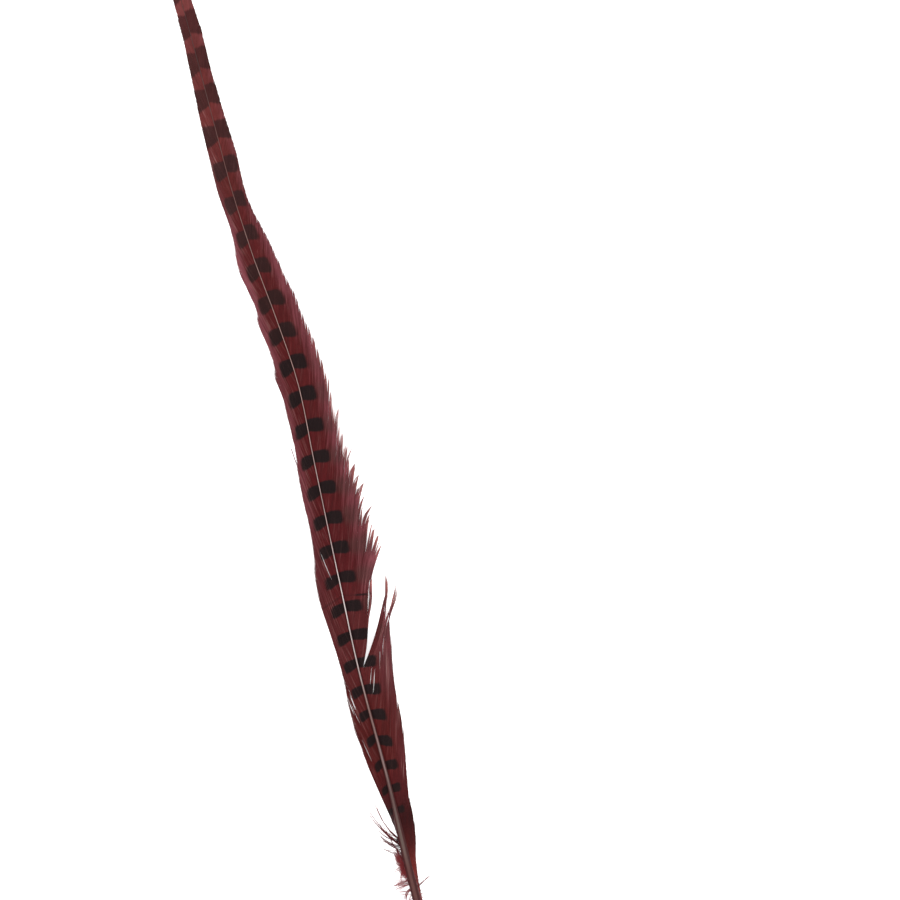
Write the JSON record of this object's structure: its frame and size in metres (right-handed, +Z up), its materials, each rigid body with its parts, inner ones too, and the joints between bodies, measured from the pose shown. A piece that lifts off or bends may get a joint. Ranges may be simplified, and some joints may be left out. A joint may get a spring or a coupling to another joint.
{
  "type": "pheasant tail feather",
  "caption": "Long barred pheasant tail feather dyed burgundy, lying flat: a tapering horn shaft, a narrow outer web, a wide split inner web and loose down by the bare quill.",
  "frame": {"origin": "centre of the bounding box in X and Y, on the surface the feather lies on", "axes": "+Y along the shaft from the quill's end to the tip, +Z up out of the barred side, +X towards the wide inner web"},
  "size_m": [0.0448, 0.5722, 0.0066],
  "materials": {
    "shaft_horn": "semi-gloss keratin, grey-brown at the quill, with the dye in its sides",
    "dyed_web": "soft combed barbs with a silky sheen, burgundy with near-black bars",
    "dyed_down": "loose matt down, brighter red"
  },
  "bodies": {
    "root": {"shaft": "shaft_horn", "outer_web": "dyed_web", "inner_web_upper": "dyed_web", "inner_web_lower": "dyed_web", "outer_down": "dyed_down", "inner_down": "dyed_down"}
  },
  "joints": []
}
